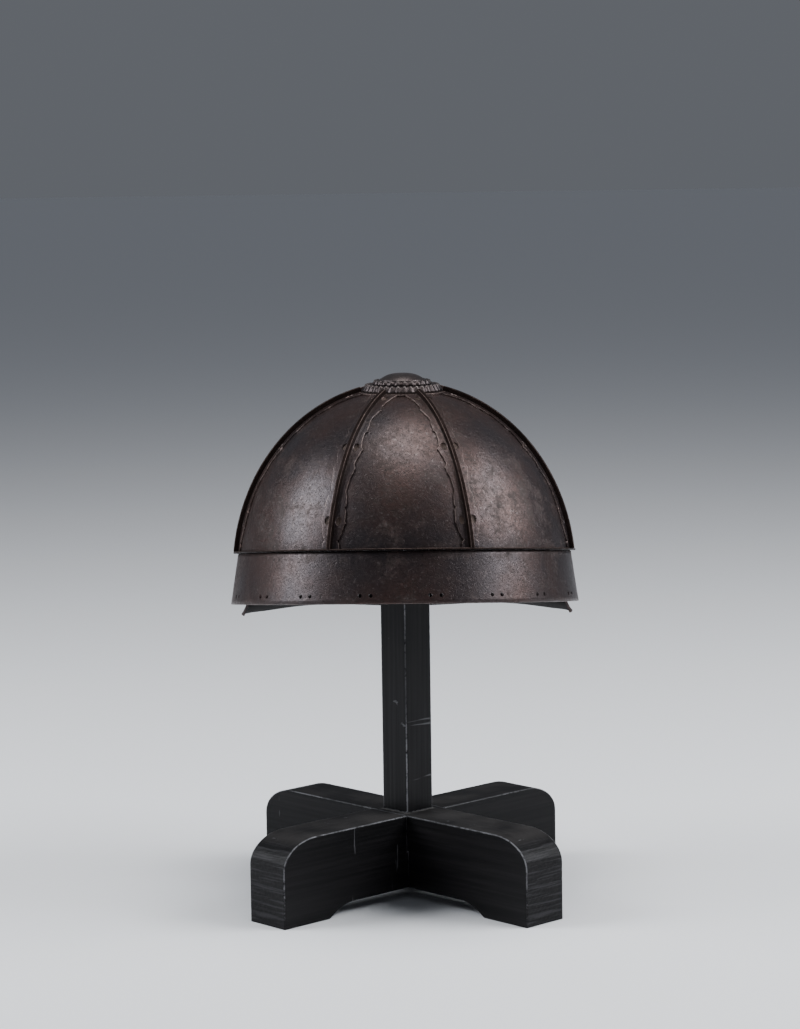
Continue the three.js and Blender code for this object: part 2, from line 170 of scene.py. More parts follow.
def mixColour(tree, share, first, second):
    node = shaderNode(tree, "ShaderNodeMix", {"data_type": "RGBA"}, {0: share})
    for index, value in ((6, first), (7, second)):
        if isinstance(value, bpy.types.NodeSocket):
            tree.links.new(value, node.inputs[index])
        else:
            node.inputs[index].default_value = (*value, 1)
    return node.outputs[2]


def coat(tree, colour, mask, share, over):  # lays one colour over another where the mask is
    return mixColour(tree, mathNode(tree, "MULTIPLY", mask, share), colour, over)


def stretched(tree, place, scale, lean=0.0):
    inputs = {"Vector": place, "Rotation": (lean, 0, 0), "Scale": scale}
    return shaderNode(tree, "ShaderNodeMapping", None, inputs).outputs[0]


def paintedMark(tree, name):
    return shaderNode(tree, "ShaderNodeAttribute", {"attribute_name": name}).outputs["Fac"]


def bumped(tree, surface, height, strength, distance):
    bump = shaderNode(
        tree, "ShaderNodeBump", None,
        {"Height": height, "Strength": strength, "Distance": distance},
    )
    tree.links.new(bump.outputs[0], surface.inputs["Normal"])


def startMaterial(name):
    made = bpy.data.materials.new(name)
    made.use_nodes = True
    tree = made.node_tree
    tree.nodes.clear()
    output = shaderNode(tree, "ShaderNodeOutputMaterial")
    surface = shaderNode(tree, "ShaderNodeBsdfPrincipled")
    tree.links.new(surface.outputs[0], output.inputs[0])
    place = shaderNode(tree, "ShaderNodeTexCoord").outputs["Object"]
    return made, tree, surface, place


# The iron reads two painted marks: the edge mark rises to 1 at an edge and above that stands for
# soot on the ribs and flange and for painted shade on the collar's ring under the seat petals, and
# rubbed is metal worn bare
ironScales = {
    "clouds": 16.0,
    "patches": 60.0,
    "mottle": 250.0,
    "grain": 520.0,
    "flecks": 620.0,
    "pits": 1100.0,
}
sootAndShadeFrom, sootAndShadeFull = 1.2, 2.2


def ironMaterial(name, look):
    made, tree, surface, place = startMaterial(name)
    edgeAndShade = paintedMark(tree, "nearEdge")
    clouds = noiseNode(tree, place, ironScales["clouds"], 4.0, 0.6)
    patches = noiseNode(tree, place, ironScales["patches"], 6.0, 0.68, 0.3)
    grain = noiseNode(tree, place, ironScales["grain"], 4.0, 0.7)
    pits = noiseNode(tree, place, ironScales["pits"], 2.0, 0.5)
    flecks = noiseNode(tree, place, ironScales["flecks"], 3.0, 0.6, 0.6)
    edged = mathNode(tree, "MULTIPLY_ADD", edgeAndShade, look["edgeRust"], patches)
    rust = rangeNode(tree, edged, look["rustFrom"], look["rustFrom"] + 0.2)
    rust = mathNode(tree, "MULTIPLY", rust, rangeNode(tree, grain, 0.35, 0.62, 0.45, 1.0))
    mottle = noiseNode(tree, place, ironScales["mottle"], 6.0, 0.72, 0.4)
    mottle = mathNode(tree, "MULTIPLY_ADD", clouds, 0.5, mottle)
    mottle = mathNode(tree, "MULTIPLY_ADD", edged, 0.5, mottle)
    mottled = rangeNode(tree, mottle, 0.96, 1.22)
    pitted = rangeNode(tree, pits, look["pitFrom"], look["pitFrom"] + 0.06)
    flecked = rangeNode(tree, flecks, look["fleckFrom"], look["fleckFrom"] + 0.05)
    # Soot on the ribs and flange, and painted shade on the collar's ring under the seat petals
    sootAndShadeMask = rangeNode(tree, edgeAndShade, sootAndShadeFrom, sootAndShadeFull)
    bare = rangeNode(tree, patches, 0.38, 0.6, 0.25, 1.0)
    colour = mixColour(tree, rangeNode(tree, clouds, 0.35, 0.65), look["dark"], look["warm"])
    coats = (
        (rust, look["rustShare"], look["rust"]),
        (mottled, look["mottleShare"], look["mottle"]),
        (pitted, look["pitShare"], look["pit"]),
        (flecked, look["fleckShare"], look["fleck"]),
        (sootAndShadeMask, look["sootAndShadeShare"], look["sootAndShade"]),
        (paintedMark(tree, "rubbed"), bare, look["rubbed"]),
    )
    for mask, share, over in coats:
        colour = coat(tree, colour, mask, share, over)
    tree.links.new(colour, surface.inputs["Base Color"])
    metal = mathNode(tree, "MULTIPLY_ADD", rust, -look["rustDulls"], look["metallic"])
    tree.links.new(mathNode(tree, "MAXIMUM", metal, sootAndShadeMask), surface.inputs["Metallic"])
    # Clouds and grain swing the roughness to both sides of the look's own value
    cloudSwing, grainSwing = 0.14, 0.35
    rough = look["roughness"] - (cloudSwing + grainSwing) / 2
    swings = (
        (clouds, cloudSwing), (rust, 0.2), (mottled, 0.12), (sootAndShadeMask, 0.12), (grain, grainSwing),
    )
    for mask, swing in swings:
        rough = mathNode(tree, "MULTIPLY_ADD", mask, swing, rough)
    tree.links.new(rough, surface.inputs["Roughness"])
    surface.inputs["Specular IOR Level"].default_value = look["specular"]
    height = mathNode(tree, "MULTIPLY_ADD", pitted, -0.8, grain)
    height = mathNode(tree, "MULTIPLY_ADD", patches, look["patchBump"], height)
    bumped(tree, surface, height, look["bump"], 0.0004)
    return made


bowlLook = {
    "dark": (0.033, 0.026, 0.028),
    "warm": (0.052, 0.028, 0.024),
    "rust": (0.036, 0.015, 0.011),
    "mottle": (0.018, 0.010, 0.008),
    "pit": (0.012, 0.009, 0.008),
    "fleck": (0.10, 0.08, 0.078),
    # near-black: soot on the ribs and flange, and painted shade on the collar's ring under the seat
    # petals
    "sootAndShade": (0.013, 0.009, 0.008),
    "rubbed": (0.20, 0.165, 0.155),
    "rustShare": 0.75, "mottleShare": 0.75, "pitShare": 0.7, "fleckShare": 0.5, "sootAndShadeShare": 0.85,
    "edgeRust": 0.15, "rustFrom": 0.58, "pitFrom": 0.585, "fleckFrom": 0.6,
    "metallic": 0.72, "rustDulls": 0.25, "roughness": 0.35, "specular": 0.75,
    "bump": 0.25, "patchBump": 0.5,
}
stripLook = {**bowlLook, "edgeRust": 0.09, "rubbed": (0.21, 0.155, 0.138), "bump": 0.2}
ornamentLook = {
    **bowlLook,
    "dark": (0.040, 0.034, 0.036),
    "warm": (0.050, 0.039, 0.038),
    "rubbed": (0.20, 0.175, 0.165),
    "mottleShare": 0.3, "edgeRust": 0.0, "rustFrom": 0.62, "pitFrom": 0.66,
    "metallic": 0.85, "roughness": 0.38, "specular": 0.4, "bump": 0.12,
}
rivetLook = {
    **bowlLook,
    "dark": (0.050, 0.036, 0.030),
    "warm": (0.070, 0.048, 0.039),
    "rust": (0.080, 0.048, 0.036),
    "rustShare": 0.8, "mottleShare": 0.3, "edgeRust": 0.0, "rustFrom": 0.45,
    "metallic": 0.4, "rustDulls": 0.3, "roughness": 0.6, "specular": 0.3, "bump": 0.4,
}

bowlIron = ironMaterial("Brown black iron patina", bowlLook)
stripIron = ironMaterial("Strip iron with rubbed edges", stripLook)
ornamentIron = ironMaterial("Ornament iron rubbed on the petals", ornamentLook)
rivetIron = ironMaterial("Rusty rivet iron", rivetLook)

woodLook = {
    "dark": (0.0028, 0.0027, 0.0031),
    "pale": (0.0072, 0.0066, 0.0072),
    "bare": (0.17, 0.17, 0.18),
    "sawn": (0.030, 0.029, 0.032),
    "dust": (0.060, 0.056, 0.054),
    "dustLine": (0.15, 0.145, 0.14),
    "dustReach": 0.0025,
    "roughness": 0.44,
    "specular": 0.13,
    "ringSpacing": 2.6,
    "grainBump": 0.5,
    "sawBump": 3.0,
    "sawLean": 0.14,
    "scratchShare": 0.35,
}
# How closely each pattern repeats along the timber, across it and upwards
woodScales = {
    "bend": (3.0, 14.0, 14.0),
    "fibres": (9.0, 420.0, 420.0),
    "streaks": (22.0, 150.0, 150.0),
    "saw": (260.0, 22.0, 560.0),
    "scratches": (170.0, 60.0, 13.0),
}


def woodGrain(tree, place, look, ringCentre):
    # Growth rings run round a line beside the piece, so sides show long grain and ends show arcs
    bent = noiseNode(tree, stretched(tree, place, woodScales["bend"]), 1.0, 2.0, 0.5)
    apart = shaderNode(tree, "ShaderNodeSeparateXYZ", None, {0: place})
    across = mathNode(tree, "ADD", apart.outputs[1], ringCentre[0])
    upward = mathNode(tree, "ADD", apart.outputs[2], ringCentre[1])
    squares = mathNode(tree, "MULTIPLY", upward, upward)
    squares = mathNode(tree, "MULTIPLY_ADD", across, across, squares)
    distance = mathNode(tree, "MULTIPLY_ADD", bent, 0.012, mathNode(tree, "SQRT", squares))
    phase = mathNode(tree, "MULTIPLY", distance, 2 * math.pi / (look["ringSpacing"] * toMetres))
    rings = mathNode(tree, "MULTIPLY_ADD", mathNode(tree, "SINE", phase), 0.5, 0.5)
    fibres = noiseNode(tree, stretched(tree, place, woodScales["fibres"]), 1.0, 5.0, 0.6)
    return rings, fibres


def woodWear(tree, place, look, chips, longChips):
    # Knocks widen the bare wood along the edges here and there
    worn = paintedMark(tree, "worn")
    knocked = mathNode(tree, "MULTIPLY_ADD", mathNode(tree, "ADD", chips, -0.5), 1.1, worn)
    bare = rangeNode(tree, knocked, 0.82, 1.02)
    bare = mathNode(tree, "MULTIPLY", bare, rangeNode(tree, longChips, 0.36, 0.6, 0.25, 0.9))
    upright = stretched(tree, place, woodScales["scratches"])
    scratches = rangeNode(tree, noiseNode(tree, upright, 1.0, 3.0, 0.55, 0.4), 0.68, 0.71)
    scratched = mathNode(tree, "MULTIPLY", scratches, look["scratchShare"])
    return mathNode(tree, "MAXIMUM", bare, scratched)


def sawMarks(tree, place, look):  # on the arm ends and their shoulders
    ownNormal = shaderNode(tree, "ShaderNodeTexCoord").outputs["Normal"]
    alongArm = shaderNode(tree, "ShaderNodeSeparateXYZ", None, {0: ownNormal}).outputs[0]
    endFace = rangeNode(tree, mathNode(tree, "ABSOLUTE", alongArm), 0.12, 0.8)
    slanted = stretched(tree, place, woodScales["saw"], look["sawLean"])
    return noiseNode(tree, slanted, 1.0, 3.0, 0.6, 0.2), endFace


def woodMaterial(name, look, ringCentre, postFoot):
    made, tree, surface, place = startMaterial(name)
    rings, fibres = woodGrain(tree, place, look, ringCentre)
    chips = noiseNode(tree, place, 330.0, 5.0, 0.75)
    longChips = noiseNode(tree, place, 26.0, 3.0, 0.6)
    bare = woodWear(tree, place, look, chips, longChips)
    sawn, endFace = sawMarks(tree, place, look)
    colour = mixColour(tree, rangeNode(tree, fibres, 0.35, 0.7), look["dark"], look["pale"])
    ridges = mathNode(tree, "MULTIPLY", rangeNode(tree, sawn, 0.48, 0.66), endFace)
    colour = coat(tree, colour, ridges, 0.7, look["sawn"])
    facing = shaderNode(tree, "ShaderNodeNewGeometry").outputs["Normal"]
    upwards = shaderNode(tree, "ShaderNodeSeparateXYZ", None, {0: facing}).outputs[2]
    flat = rangeNode(tree, upwards, 0.8, 1.0)
    dusty = mathNode(tree, "MULTIPLY", flat, rangeNode(tree, longChips, 0.3, 0.7, 0.12, 0.6))
    if postFoot:  # dust gathers in a line round the foot of the post
        apart = shaderNode(tree, "ShaderNodeSeparateXYZ", None, {0: place})
        sideX, sideY = (mathNode(tree, "ABSOLUTE", apart.outputs[axis]) for axis in (0, 1))
        farther = mathNode(tree, "MAXIMUM", sideX, sideY)
        beside = rangeNode(tree, farther, postFoot, postFoot + look["dustReach"], 0.9, 0.0)
        lined = mathNode(tree, "MULTIPLY", beside, rangeNode(tree, chips, 0.3, 0.6))
        lined = mathNode(tree, "MULTIPLY", flat, lined)
        dusty = mathNode(tree, "MAXIMUM", dusty, lined)
    colour = mixColour(tree, dusty, colour, look["dust"])
    if postFoot:
        colour = mixColour(tree, lined, colour, look["dustLine"])
    colour = mixColour(tree, bare, colour, look["bare"])
    tree.links.new(colour, surface.inputs["Base Color"])
    streaks = noiseNode(tree, stretched(tree, place, woodScales["streaks"]), 1.0, 3.0, 0.5)
    rough = mathNode(tree, "MULTIPLY_ADD", streaks, 0.14, look["roughness"] - 0.07)
    rough = mathNode(tree, "MULTIPLY_ADD", dusty, 0.35, rough)
    tree.links.new(rough, surface.inputs["Roughness"])
    surface.inputs["Specular IOR Level"].default_value = look["specular"]
    height = mathNode(tree, "MULTIPLY_ADD", rings, 0.2, fibres)
    height = mathNode(tree, "MULTIPLY_ADD", bare, -0.8, height)
    sawDepth = mathNode(tree, "MULTIPLY", sawn, endFace)
    height = mathNode(tree, "MULTIPLY_ADD", sawDepth, look["sawBump"], height)
    bumped(tree, surface, height, look["grainBump"], 0.0003)
    return made


# Painted shade: the inner faces of the plates, band and visor are made near-black because they lie
# in shade, with slightly paler blotches
paintedShadeLook = {
    "colour": (0.004, 0.003, 0.003),
    "paleBlotch": (0.010, 0.006, 0.005),
    "roughness": 0.75,
    "specular": 0.04,
}


def paintedShadeMaterial(name, look):
    made, tree, surface, place = startMaterial(name)
    blotches = noiseNode(tree, place, 90.0, 5.0, 0.65)
    colour = mixColour(tree, rangeNode(tree, blotches, 0.55, 0.75), look["colour"], look["paleBlotch"])
    tree.links.new(colour, surface.inputs["Base Color"])
    surface.inputs["Roughness"].default_value = look["roughness"]
    surface.inputs["Specular IOR Level"].default_value = look["specular"]
    return made


# Near-black painted shade for the insides
paintedShadeInside = paintedShadeMaterial("Painted black shade inside", paintedShadeLook)
postSide = 0.011  # half the post's width, where the dust line starts
beamWood = woodMaterial("Black stained beam wood", woodLook, (0.05, 0.06), postSide)
postWood = woodMaterial("Black stained post wood", woodLook, (0.06, 0.045), 0)
print("materials ready")


# Mesh helpers
def makePiece(name, points, faces, material, spot=domeSpot, marks=None, sharp=40):
    mesh = bpy.data.meshes.new(name)
    mesh.from_pydata([spot(point) for point in points], [], faces)
    mesh.update()
    for markName, values in (marks or {}).items():
        layer = mesh.attributes.new(markName, "FLOAT", "POINT")
        layer.data.foreach_set("value", values)
    mesh.shade_smooth()
    mesh.set_sharp_from_angle(angle=math.radians(sharp))
    made = bpy.data.objects.new(name, mesh)
    made.data.materials.append(material)
    scene.collection.objects.link(made)
    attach(made, "root")
    return made


# Paints shade on a piece: the chosen faces get the near-black shade material
def paintShadeInside(piece, isInside):
    piece.data.materials.append(paintedShadeInside)
    for face in piece.data.polygons:
        if isInside(face.index):
            face.material_index = 1


# A closed solid between two grids of columns, each column from low to high
def shell(outer, inner, wraps=False):
    columns, rows = len(outer), len(outer[0])
    points = [point for grid in (outer, inner) for column in grid for point in column]
    top, last = rows - 1, columns - 1
    faces = []

    def out(i, j):
        return (i % columns) * rows + j

    def within(i, j):
        return columns * rows + out(i, j)

    for i in range(columns if wraps else last):
        for j in range(top):
            faces.append((out(i, j), out(i + 1, j), out(i + 1, j + 1), out(i, j + 1)))
            faces.append((within(i, j), within(i, j + 1), within(i + 1, j + 1), within(i + 1, j)))
        faces.append((out(i, 0), within(i, 0), within(i + 1, 0), out(i + 1, 0)))
        faces.append((out(i, top), out(i + 1, top), within(i + 1, top), within(i, top)))
    if not wraps:
        for j in range(top):
            faces.append((out(0, j), out(0, j + 1), within(0, j + 1), within(0, j)))
            faces.append((out(last, j), within(last, j), within(last, j + 1), out(last, j + 1)))
    return points, faces


def ring(sections):  # a closed loop of closed cross-sections
    count, size = len(sections), len(sections[0])
    points = [point for section in sections for point in section]
    faces = []
    for i in range(count):
        j = (i + 1) % count
        for k in range(size):
            m = (k + 1) % size
            faces.append((i * size + k, j * size + k, j * size + m, i * size + m))
    return points, faces


def revolved(rows, columns, shape):  # rows from the axis below to the axis above
    points, faces, starts = [], [], []
    for row in rows:
        starts.append(len(points))
        if row["radius"] == 0:
            points.append(Vector((0, 0, row["height"])))
        else:
            points.extend(shape(row, 2 * math.pi * i / columns) for i in range(columns))
    for low in range(len(rows) - 1):
        below, above = starts[low], starts[low + 1]
        for i in range(columns):
            j = (i + 1) % columns
            if rows[low]["radius"] == 0:
                faces.append((below, above + j, above + i))
            elif rows[low + 1]["radius"] == 0:
                faces.append((below + i, below + j, above))
            else:
                faces.append((below + i, below + j, above + j, above + i))
    return points, faces


def stackedRings(faces, start, levels, sides):  # joins rings of equal size, and closes the lowest
    for level in range(levels - 1):
        low, high = start + level * sides, start + (level + 1) * sides
        for i in range(sides):
            j = (i + 1) % sides
            faces.append((low + i, low + j, high + j, high + i))
    faces.append(tuple(start + i for i in reversed(range(sides))))


def cutHoles(piece, cutters):
    points, faces = [], []
    for cutter in cutters:
        start, sides, profile = len(points), cutter["sides"], cutter["profile"]
        turn = cutter["direction"].normalized().to_track_quat("Z", "Y")
        wide, tall = cutter.get("oval", (1, 1))
        for radius, lift in profile:
            for i in range(sides):
                angle = 2 * math.pi * i / sides
                sideways, upwards = wide * radius * math.cos(angle), tall * radius * math.sin(angle)
                points.append(cutter["point"] + turn @ Vector((sideways, upwards, lift)))
        stackedRings(faces, start, len(profile), sides)
        faces.append(tuple(start + (len(profile) - 1) * sides + i for i in range(sides)))
    mesh = bpy.data.meshes.new("drill")
    mesh.from_pydata([domeSpot(point) for point in points], [], faces)
    mesh.update()
    tool = bpy.data.objects.new("drill", mesh)
    scene.collection.objects.link(tool)
    change = piece.modifiers.new("holes", "BOOLEAN")
    change.operation = "DIFFERENCE"
    change.solver = "EXACT"
    change.object = tool
    drilled = piece.evaluated_get(bpy.context.evaluated_depsgraph_get())
    cut = bpy.data.meshes.new_from_object(drilled)
    piece.modifiers.clear()
    old = piece.data
    piece.data = cut
    cut.name = old.name
    bpy.data.meshes.remove(old)
    bpy.data.objects.remove(tool)
    bpy.data.meshes.remove(mesh)


# Bowl plates
plates = {
    "columns": 56,
    "rows": 60,
    "hammering": 0.16,
    "hammerSize": 26.0,
    "openingRadius": 18.0,
    "seamGap": 0.3,
    "seamRustReach": 17.0,
    "rimRustReach": 12.0,
    "patch": 1.1,  # a brown patch in the middle of each plate
    "patchShare": 0.48,
    "patchHalfShare": 0.3,
    "patchHeight": 52.0,
    "patchReach": 26.0,
}


def plateMark(share, height, low, span):  # how near an edge or the brown patch a spot lies
    reach = domeHalfWidth(height) * span * min(share, 1 - share)
    sideways = (share - plates["patchShare"]) / plates["patchHalfShare"]
    upwards = (height - plates["patchHeight"]) / plates["patchReach"]
    patch = plates["patch"] * math.exp(-sideways * sideways - upwards * upwards)
    nearSeam = 1 - reach / plates["seamRustReach"]
    nearRim = 1 - (height - low) / plates["rimRustReach"]
    return max(nearSeam, nearRim, patch)


def makePlate(number, fromAngle, toAngle):
    top = domeHeight(plates["openingRadius"])
    outer, inner, edgeAndShade = [], [], []
    for i in range(plates["columns"]):
        share = i / (plates["columns"] - 1)
        angle = blend(fromAngle, toAngle, share)
        inset = (1 - 2 * share) * plates["seamGap"] / 2
        low = rimHeight(angle) + bowl["rimGap"]
        outerColumn, innerColumn = [], []
        for j in range(plates["rows"]):
            height = low + (top - low) * math.sin(j / (plates["rows"] - 1) * math.pi / 2)
            normal = domeNormal(angle, height)
            spot = domePoint(angle, height) + domeAlong(angle, height) * inset
            dent = plates["hammering"] * (0.5 + 0.5 * wobble(spot, plates["hammerSize"], 3.1))
            outerColumn.append(spot - normal * dent)
            innerColumn.append(spot - normal * bowl["plateThickness"])
            edgeAndShade.append(plateMark(share, height, low, toAngle - fromAngle))
        outer.append(outerColumn)
        inner.append(innerColumn)
    landOnFlange(outer + inner)
    points, faces = shell(outer, inner)
    marks = {"nearEdge": edgeAndShade + edgeAndShade}
    made = makePiece(f"bowl_plate_{number}", points, faces, bowlIron, marks=marks)
    half = len(points) // 2
    # The plates' inner faces get painted shade
    paintShadeInside(made, lambda face: min(faces[face]) >= half)
    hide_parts(f"plate_{number}")


seamAngles = [math.radians(angle) for angle in bowl["seams"]]
for index, angle in enumerate(seamAngles):
    following = seamAngles[(index + 1) % len(seamAngles)]
    makePlate(index + 1, angle, following if following > angle else following + 2 * math.pi)
print("plates made")


# Seam strips with their ribs and rivets
strips = {
    "rows": 230,
    "thickness": 1.0,
    "ribHalfWidth": 1.35,
    "ribHeight": 3.0,
    "topRadius": 25.3,
    "rivetStations": [0.137, 0.538, 0.936],
    "rivetOffset": 3.6,
    "rivetRadius": 2.15,
    "rivetOval": (0.84, 1.2),
    "rivetDepth": 0.95,
    "unevenness": 0.18,
}

# Share along the seam from the rim, half width, and whether the edge turns sharply there
stripEdge = [
    (0.000, 5.7, True), (0.022, 5.5, False), (0.040, 3.9, True), (0.052, 5.2, False),
    (0.082, 6.6, False), (0.112, 7.3, False), (0.127, 8.3, True), (0.145, 7.6, False),
    (0.188, 7.3, False), (0.202, 6.0, True), (0.215, 6.9, False), (0.251, 6.5, False),
    (0.294, 5.1, False), (0.348, 5.6, False), (0.398, 6.9, False), (0.412, 7.5, True),
    (0.440, 5.8, True), (0.462, 6.3, False), (0.494, 7.4, False), (0.525, 8.6, True),
    (0.545, 6.8, False), (0.590, 5.8, False), (0.628, 5.4, False), (0.646, 6.8, True),
    (0.668, 6.1, False), (0.741, 5.1, False), (0.790, 6.4, False), (0.818, 7.6, True),
    (0.850, 6.3, False), (0.895, 6.7, False), (0.936, 7.6, False), (0.960, 8.2, True),
    (0.985, 9.0, False), (1.000, 10.0, True),
]


def stripHalfWidth(share):
    for here, following in zip(stripEdge, stripEdge[1:]):
        fromShare, fromWidth, fromSharp = here
        toShare, toWidth, toSharp = following
        if share <= toShare:
            part = (share - fromShare) / (toShare - fromShare)
            if fromSharp and toSharp:
                return blend(fromWidth, toWidth, part)
            if fromSharp:
                part = math.sin(part * math.pi / 2)
            elif toSharp:
                part = 1 - math.cos(part * math.pi / 2)
            else:
                part = part * part * (3 - 2 * part)
            return blend(fromWidth, toWidth, part)
    return stripEdge[-1][1]


def seamHeights(angle, shares):
    low = rimHeight(angle) + bowl["rimGap"]
    high = domeHeight(strips["topRadius"])
    steps = 400
    heights = [low + (high - low) * i / steps for i in range(steps + 1)]
    lengths = [0.0]
    for before, here in zip(heights, heights[1:]):
        lengths.append(lengths[-1] + (domePoint(angle, here) - domePoint(angle, before)).length)
    found = []
    i = 1
    for share in shares:
        wanted = share * lengths[-1]
        while lengths[i] < wanted - 1e-9 and i < steps:
            i += 1
        part = (wanted - lengths[i - 1]) / (lengths[i] - lengths[i - 1])
        found.append(blend(heights[i - 1], heights[i], part))
    return found


def stripSection(half):  # sideways place, lift, edge mark, rubbed mark
    rib, flat = strips["ribHalfWidth"], strips["thickness"]
    top, middle = flat + strips["ribHeight"], (half + rib) / 2
    side = [
        (half, 0.02, 1.0, 0.0), (half, flat * 0.6, 1.0, 0.3), (half - 0.18, flat * 0.95, 1.0, 0.5),
        (half - 0.55, flat, 0.8, 0.0), (middle, flat, 0.4, 0.0), (rib + 0.75, flat, 0.5, 0.0),
        (rib + 0.1, flat + 0.1, 1.8, 0.0), (rib, flat + 0.5, 2.4, 0.0),
        (rib - 0.1, top - 0.35, 2.4, 0.0), (rib - 0.22, top - 0.08, 2.0, 0.7),
        (rib - 0.5, top, 2.4, 0.0),
    ]
    left = [(-place, lift, edgeAndShade, rub) for place, lift, edgeAndShade, rub in side]
    return left + side[::-1]


def stripBody(number, angle):
    shares = [i / (strips["rows"] - 1) for i in range(strips["rows"])]
    columns = range(len(stripSection(8.0)))
    outer, inner, edges, rubs = ([[] for _ in columns] for _ in range(4))
    for share, height in zip(shares, seamHeights(angle, shares)):
        centre, along = domePoint(angle, height), domeAlong(angle, height)
        straight = domeNormal(angle, height)
        uneven = wobble((share * 160, number * 9.0, 0), 3.0, 1.0)
        half = stripHalfWidth(share) + strips["unevenness"] * uneven
        for column, (place, lift, edgeAndShade, rub) in enumerate(stripSection(half)):
            if abs(place) <= strips["ribHalfWidth"] + 0.2:
                base, normal = centre + along * place, straight
            else:
                turn = angle + place / domeHalfWidth(height)
                base, normal = domePoint(turn, height), domeNormal(turn, height)
            outer[column].append(base + normal * lift)
            inner[column].append(base - normal * 0.02)
            edges[column].append(edgeAndShade)
            rubs[column].append(rub)
    landOnFlange(outer + inner)
    edgeAndShade = [value for column in edges for value in column]
    rub = [value for column in rubs for value in column]
    marks = {"nearEdge": edgeAndShade + edgeAndShade, "rubbed": rub + [0.0] * len(rub)}
    return (*shell(outer, inner), marks)


def rivetSeats(angle):
    seats = []
    for height in seamHeights(angle, strips["rivetStations"]):
        for side in (-1, 1):
            turn = angle + side * strips["rivetOffset"] / domeHalfWidth(height)
            seats.append((domePoint(turn, height), domeNormal(turn, height)))
    return seats


def makeStrip(number, angle):
    points, faces, marks = stripBody(number, angle)
    name = f"seam_strip_{number}"
    made = makePiece(name, points, faces, stripIron, marks=marks, sharp=50)
    radius, flat = strips["rivetRadius"], strips["thickness"]
    mouth = radius + 0.35
    profile = [(radius, -1.0), (radius, flat * 0.7), (mouth, flat + 0.1), (mouth, flat + 1.0)]
    seats = rivetSeats(angle)
    hole = {"sides": 28, "profile": profile, "oval": strips["rivetOval"]}
    cutHoles(made, [{"point": point, "direction": normal, **hole} for point, normal in seats])
    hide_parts(f"rib_strip_{number}")
    return seats


def makeDiscs(name, discs, radius, bottom, top, dome, material, oval=(1, 1)):
    points, faces = [], []
    sides = 24
    levels = [(1.0, bottom), (1.0, top - dome), (0.8, top - dome * 0.4), (0.45, top - dome * 0.08)]
    for number, (point, normal) in enumerate(discs):
        start = len(points)
        turn = normal.to_track_quat("Z", "Y")
        tilt = 0.03 * wobble((number * 3.3, 0, 0), 1.0, 5.0)
        for share, lift in levels:
            for i in range(sides):
                angle = 2 * math.pi * i / sides
                sideways = oval[0] * radius * share * math.cos(angle)
                upwards = oval[1] * radius * share * math.sin(angle)
                points.append(point + turn @ Vector((sideways, upwards, lift + sideways * tilt)))
        points.append(point + turn @ Vector((0, 0, top)))
        stackedRings(faces, start, len(levels), sides)
        last = start + (len(levels) - 1) * sides
        for i in range(sides):
            faces.append((last + i, last + (i + 1) % sides, last + sides))
    return makePiece(name, points, faces, material)


rivetPlaces = []
for index, angle in enumerate(seamAngles):
    rivetPlaces.extend(makeStrip(index + 1, angle))
makeDiscs(
    "sunk_rivets", rivetPlaces, strips["rivetRadius"] - 0.05, -0.3,
    strips["thickness"] - strips["rivetDepth"], -0.4, rivetIron, strips["rivetOval"],
)
print("strips and rivets made")


# Flange and neck band
rim = {
    "columns": 288,
    "flangeReach": 3.8,
    "flangeInset": 4.0,
    "flangeThickness": 1.1,
    "clearance": 0.3,
    "bandHeight": 31.5,
    "bandThickness": 1.6,
    "bandTopReach": 0.9,
    "bandFlare": 4.7,
    "unevenness": 0.12,
    "lacingAngles": [-72, -51.5, -32.5, -11.4, 11.4, 32.5, 51.5, 72],
    "lacingPitch": 6.8,
    "lacingRadius": 1.2,
    "lacingEdge": 5.0,
    "flangeSoot": 2.2,
    "filledHoleRadius": 1.9,
    "filledHoleEdge": 10.5,
    "topRustReach": 9.0,
    "footRustReach": 6.0,
    "patch": 1.15,  # a brown patch at the middle of the back
    "patchShare": 0.09,
}
bandTop = rim["flangeThickness"] + rim["clearance"]
bandBottom = bandTop + rim["bandHeight"]


def bandReach(depth):
    return rim["bandTopReach"] + rim["bandFlare"] * (depth - bandTop) / rim["bandHeight"]


def bandSpot(angle, depth, lift):
    point, out, down = rimStation(angle)
    return point + out * (bandReach(depth) + lift) + down * depth


def bandFacing(angle):  # square to the flared band
    _, out, down = rimStation(angle)
    return (out - down * rim["bandFlare"] / rim["bandHeight"]).normalized()


def makeFlange():
    sections = []
    thick, reach, inset = rim["flangeThickness"], rim["flangeReach"], rim["flangeInset"]
    profile = [  # outward place, depth, rubbed mark
        (-inset, thick, 0.0), (reach - 1.4, thick, 0.0), (reach - 0.35, thick, 0.0),
        (reach - 0.08, thick - 0.25, 0.0), (reach, thick / 2, 0.0), (reach - 0.08, 0.25, 0.2),
        (reach - 0.35, 0.0, 0.4), (reach - 1.0, 0.0, 0.0), (0.0, 0.0, 0.0), (-inset, 0.0, 0.0),
    ]
    for i in range(rim["columns"]):
        angle = 2 * math.pi * i / rim["columns"]
        point, out, down = rimStation(angle)
        bend = rim["unevenness"] * (wobble(point, 15.0, 8.0) - 0.5)
        sections.append([
            point + out * (place + (bend if place > 0 else 0)) + down * depth
            for place, depth, _ in profile
        ])
    points, faces = ring(sections)
    rub = [mark for _ in sections for *_, mark in profile]
    marks = {"nearEdge": [rim["flangeSoot"]] * len(points), "rubbed": rub}
    name = "rim_flange_sheet"
    made = makePiece(name, points, faces, stripIron, marks=marks, sharp=60)
    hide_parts("rim_flange")


bandSteps = 14


